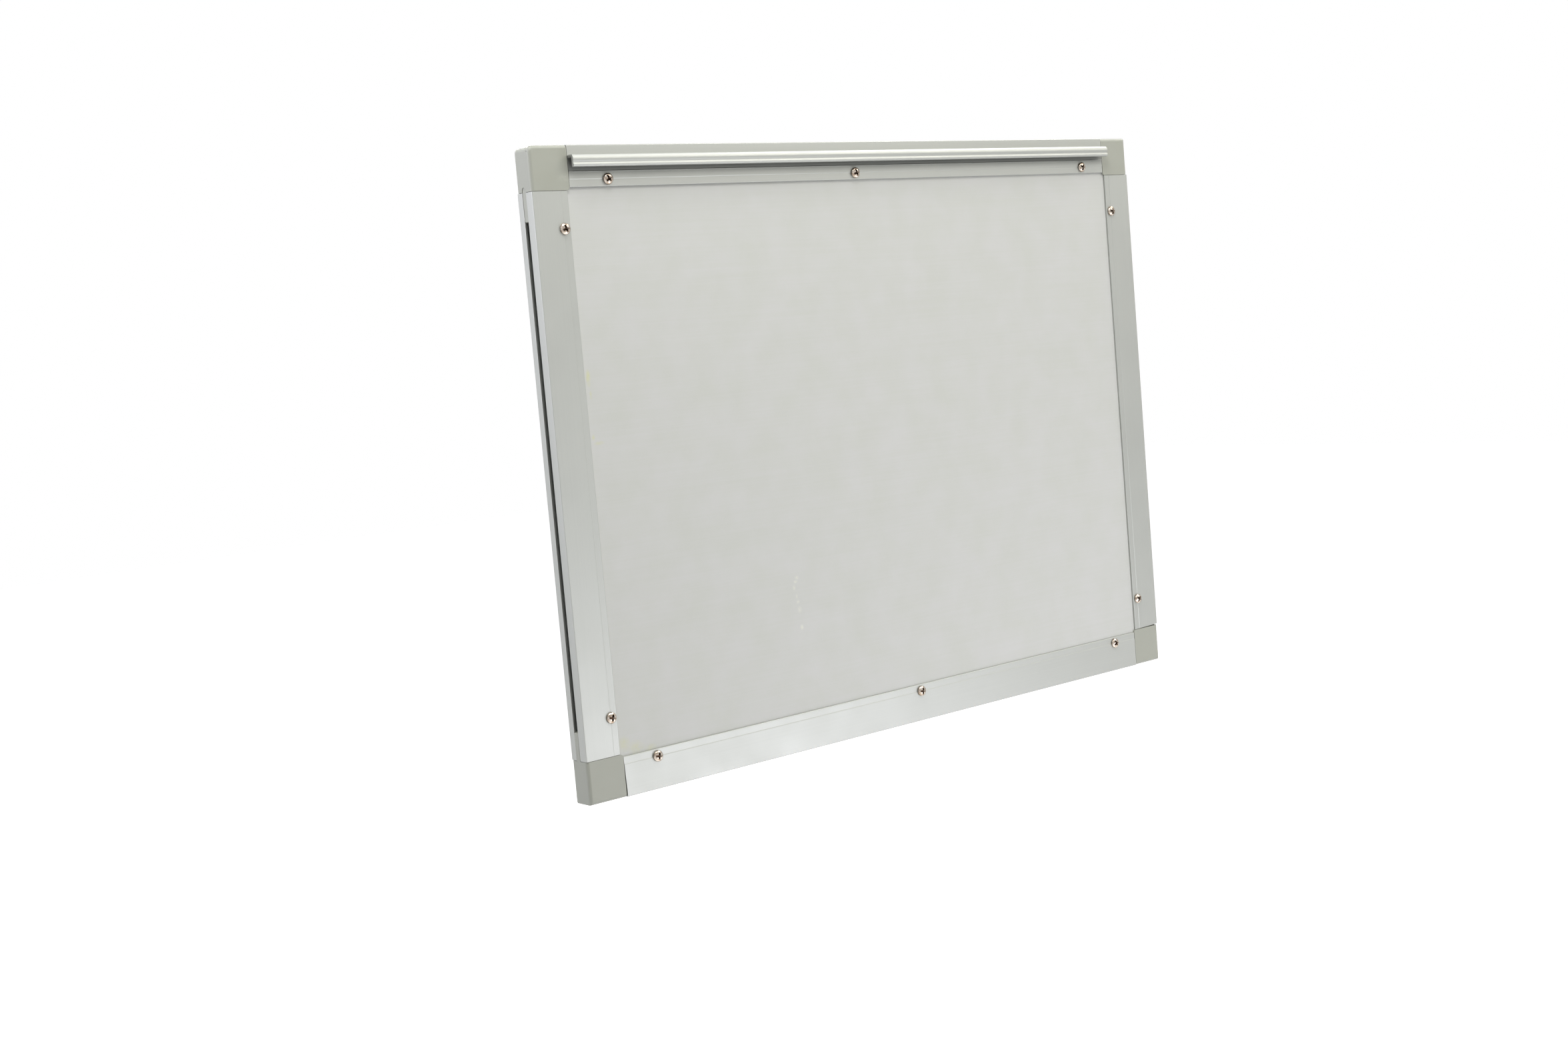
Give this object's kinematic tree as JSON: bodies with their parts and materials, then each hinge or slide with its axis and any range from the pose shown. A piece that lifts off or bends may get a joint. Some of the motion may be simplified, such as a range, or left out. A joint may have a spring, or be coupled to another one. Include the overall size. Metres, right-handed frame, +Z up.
{
  "type": "dry erase board",
  "caption": "Framed dry erase board in a slotted aluminium frame with grey corner caps, which hangs by a hooked lip along the back of its top rail.",
  "frame": {"origin": "middle of the hook's seat: the flat face under the hook's web, which rests on a hanging bar", "axes": "+Z up; the writing face looks along -Y and the hook is on the +Y side; +X is the right of a person who looks at the writing face"},
  "size_m": [0.6, 0.025, 0.45],
  "materials": {
    "anodised_aluminium": "satin, natural anodised",
    "grey_abs": "matte grey moulded ABS",
    "lacquered_steel": "glossy white lacquer",
    "fibreboard": "raw fibreboard",
    "painted_backing": "dull light grey backing",
    "nickel_plated_steel": "bright nickel plate"
  },
  "bodies": {
    "root": {"top_rail": "anodised_aluminium", "bottom_rail": "anodised_aluminium", "left_rail": "anodised_aluminium", "right_rail": "anodised_aluminium", "corner_cap_top_left": "grey_abs", "corner_cap_top_right": "grey_abs", "corner_cap_bottom_left": "grey_abs", "corner_cap_bottom_right": "grey_abs", "writing_sheet": "lacquered_steel", "core_board": "fibreboard", "back_sheet": "painted_backing", "screw_top_1": "nickel_plated_steel", "screw_top_2": "nickel_plated_steel", "screw_top_3": "nickel_plated_steel", "screw_bottom_1": "nickel_plated_steel", "screw_bottom_2": "nickel_plated_steel", "screw_bottom_3": "nickel_plated_steel", "screw_left_1": "nickel_plated_steel", "screw_left_2": "nickel_plated_steel", "screw_right_1": "nickel_plated_steel", "screw_right_2": "nickel_plated_steel"}
  },
  "joints": []
}
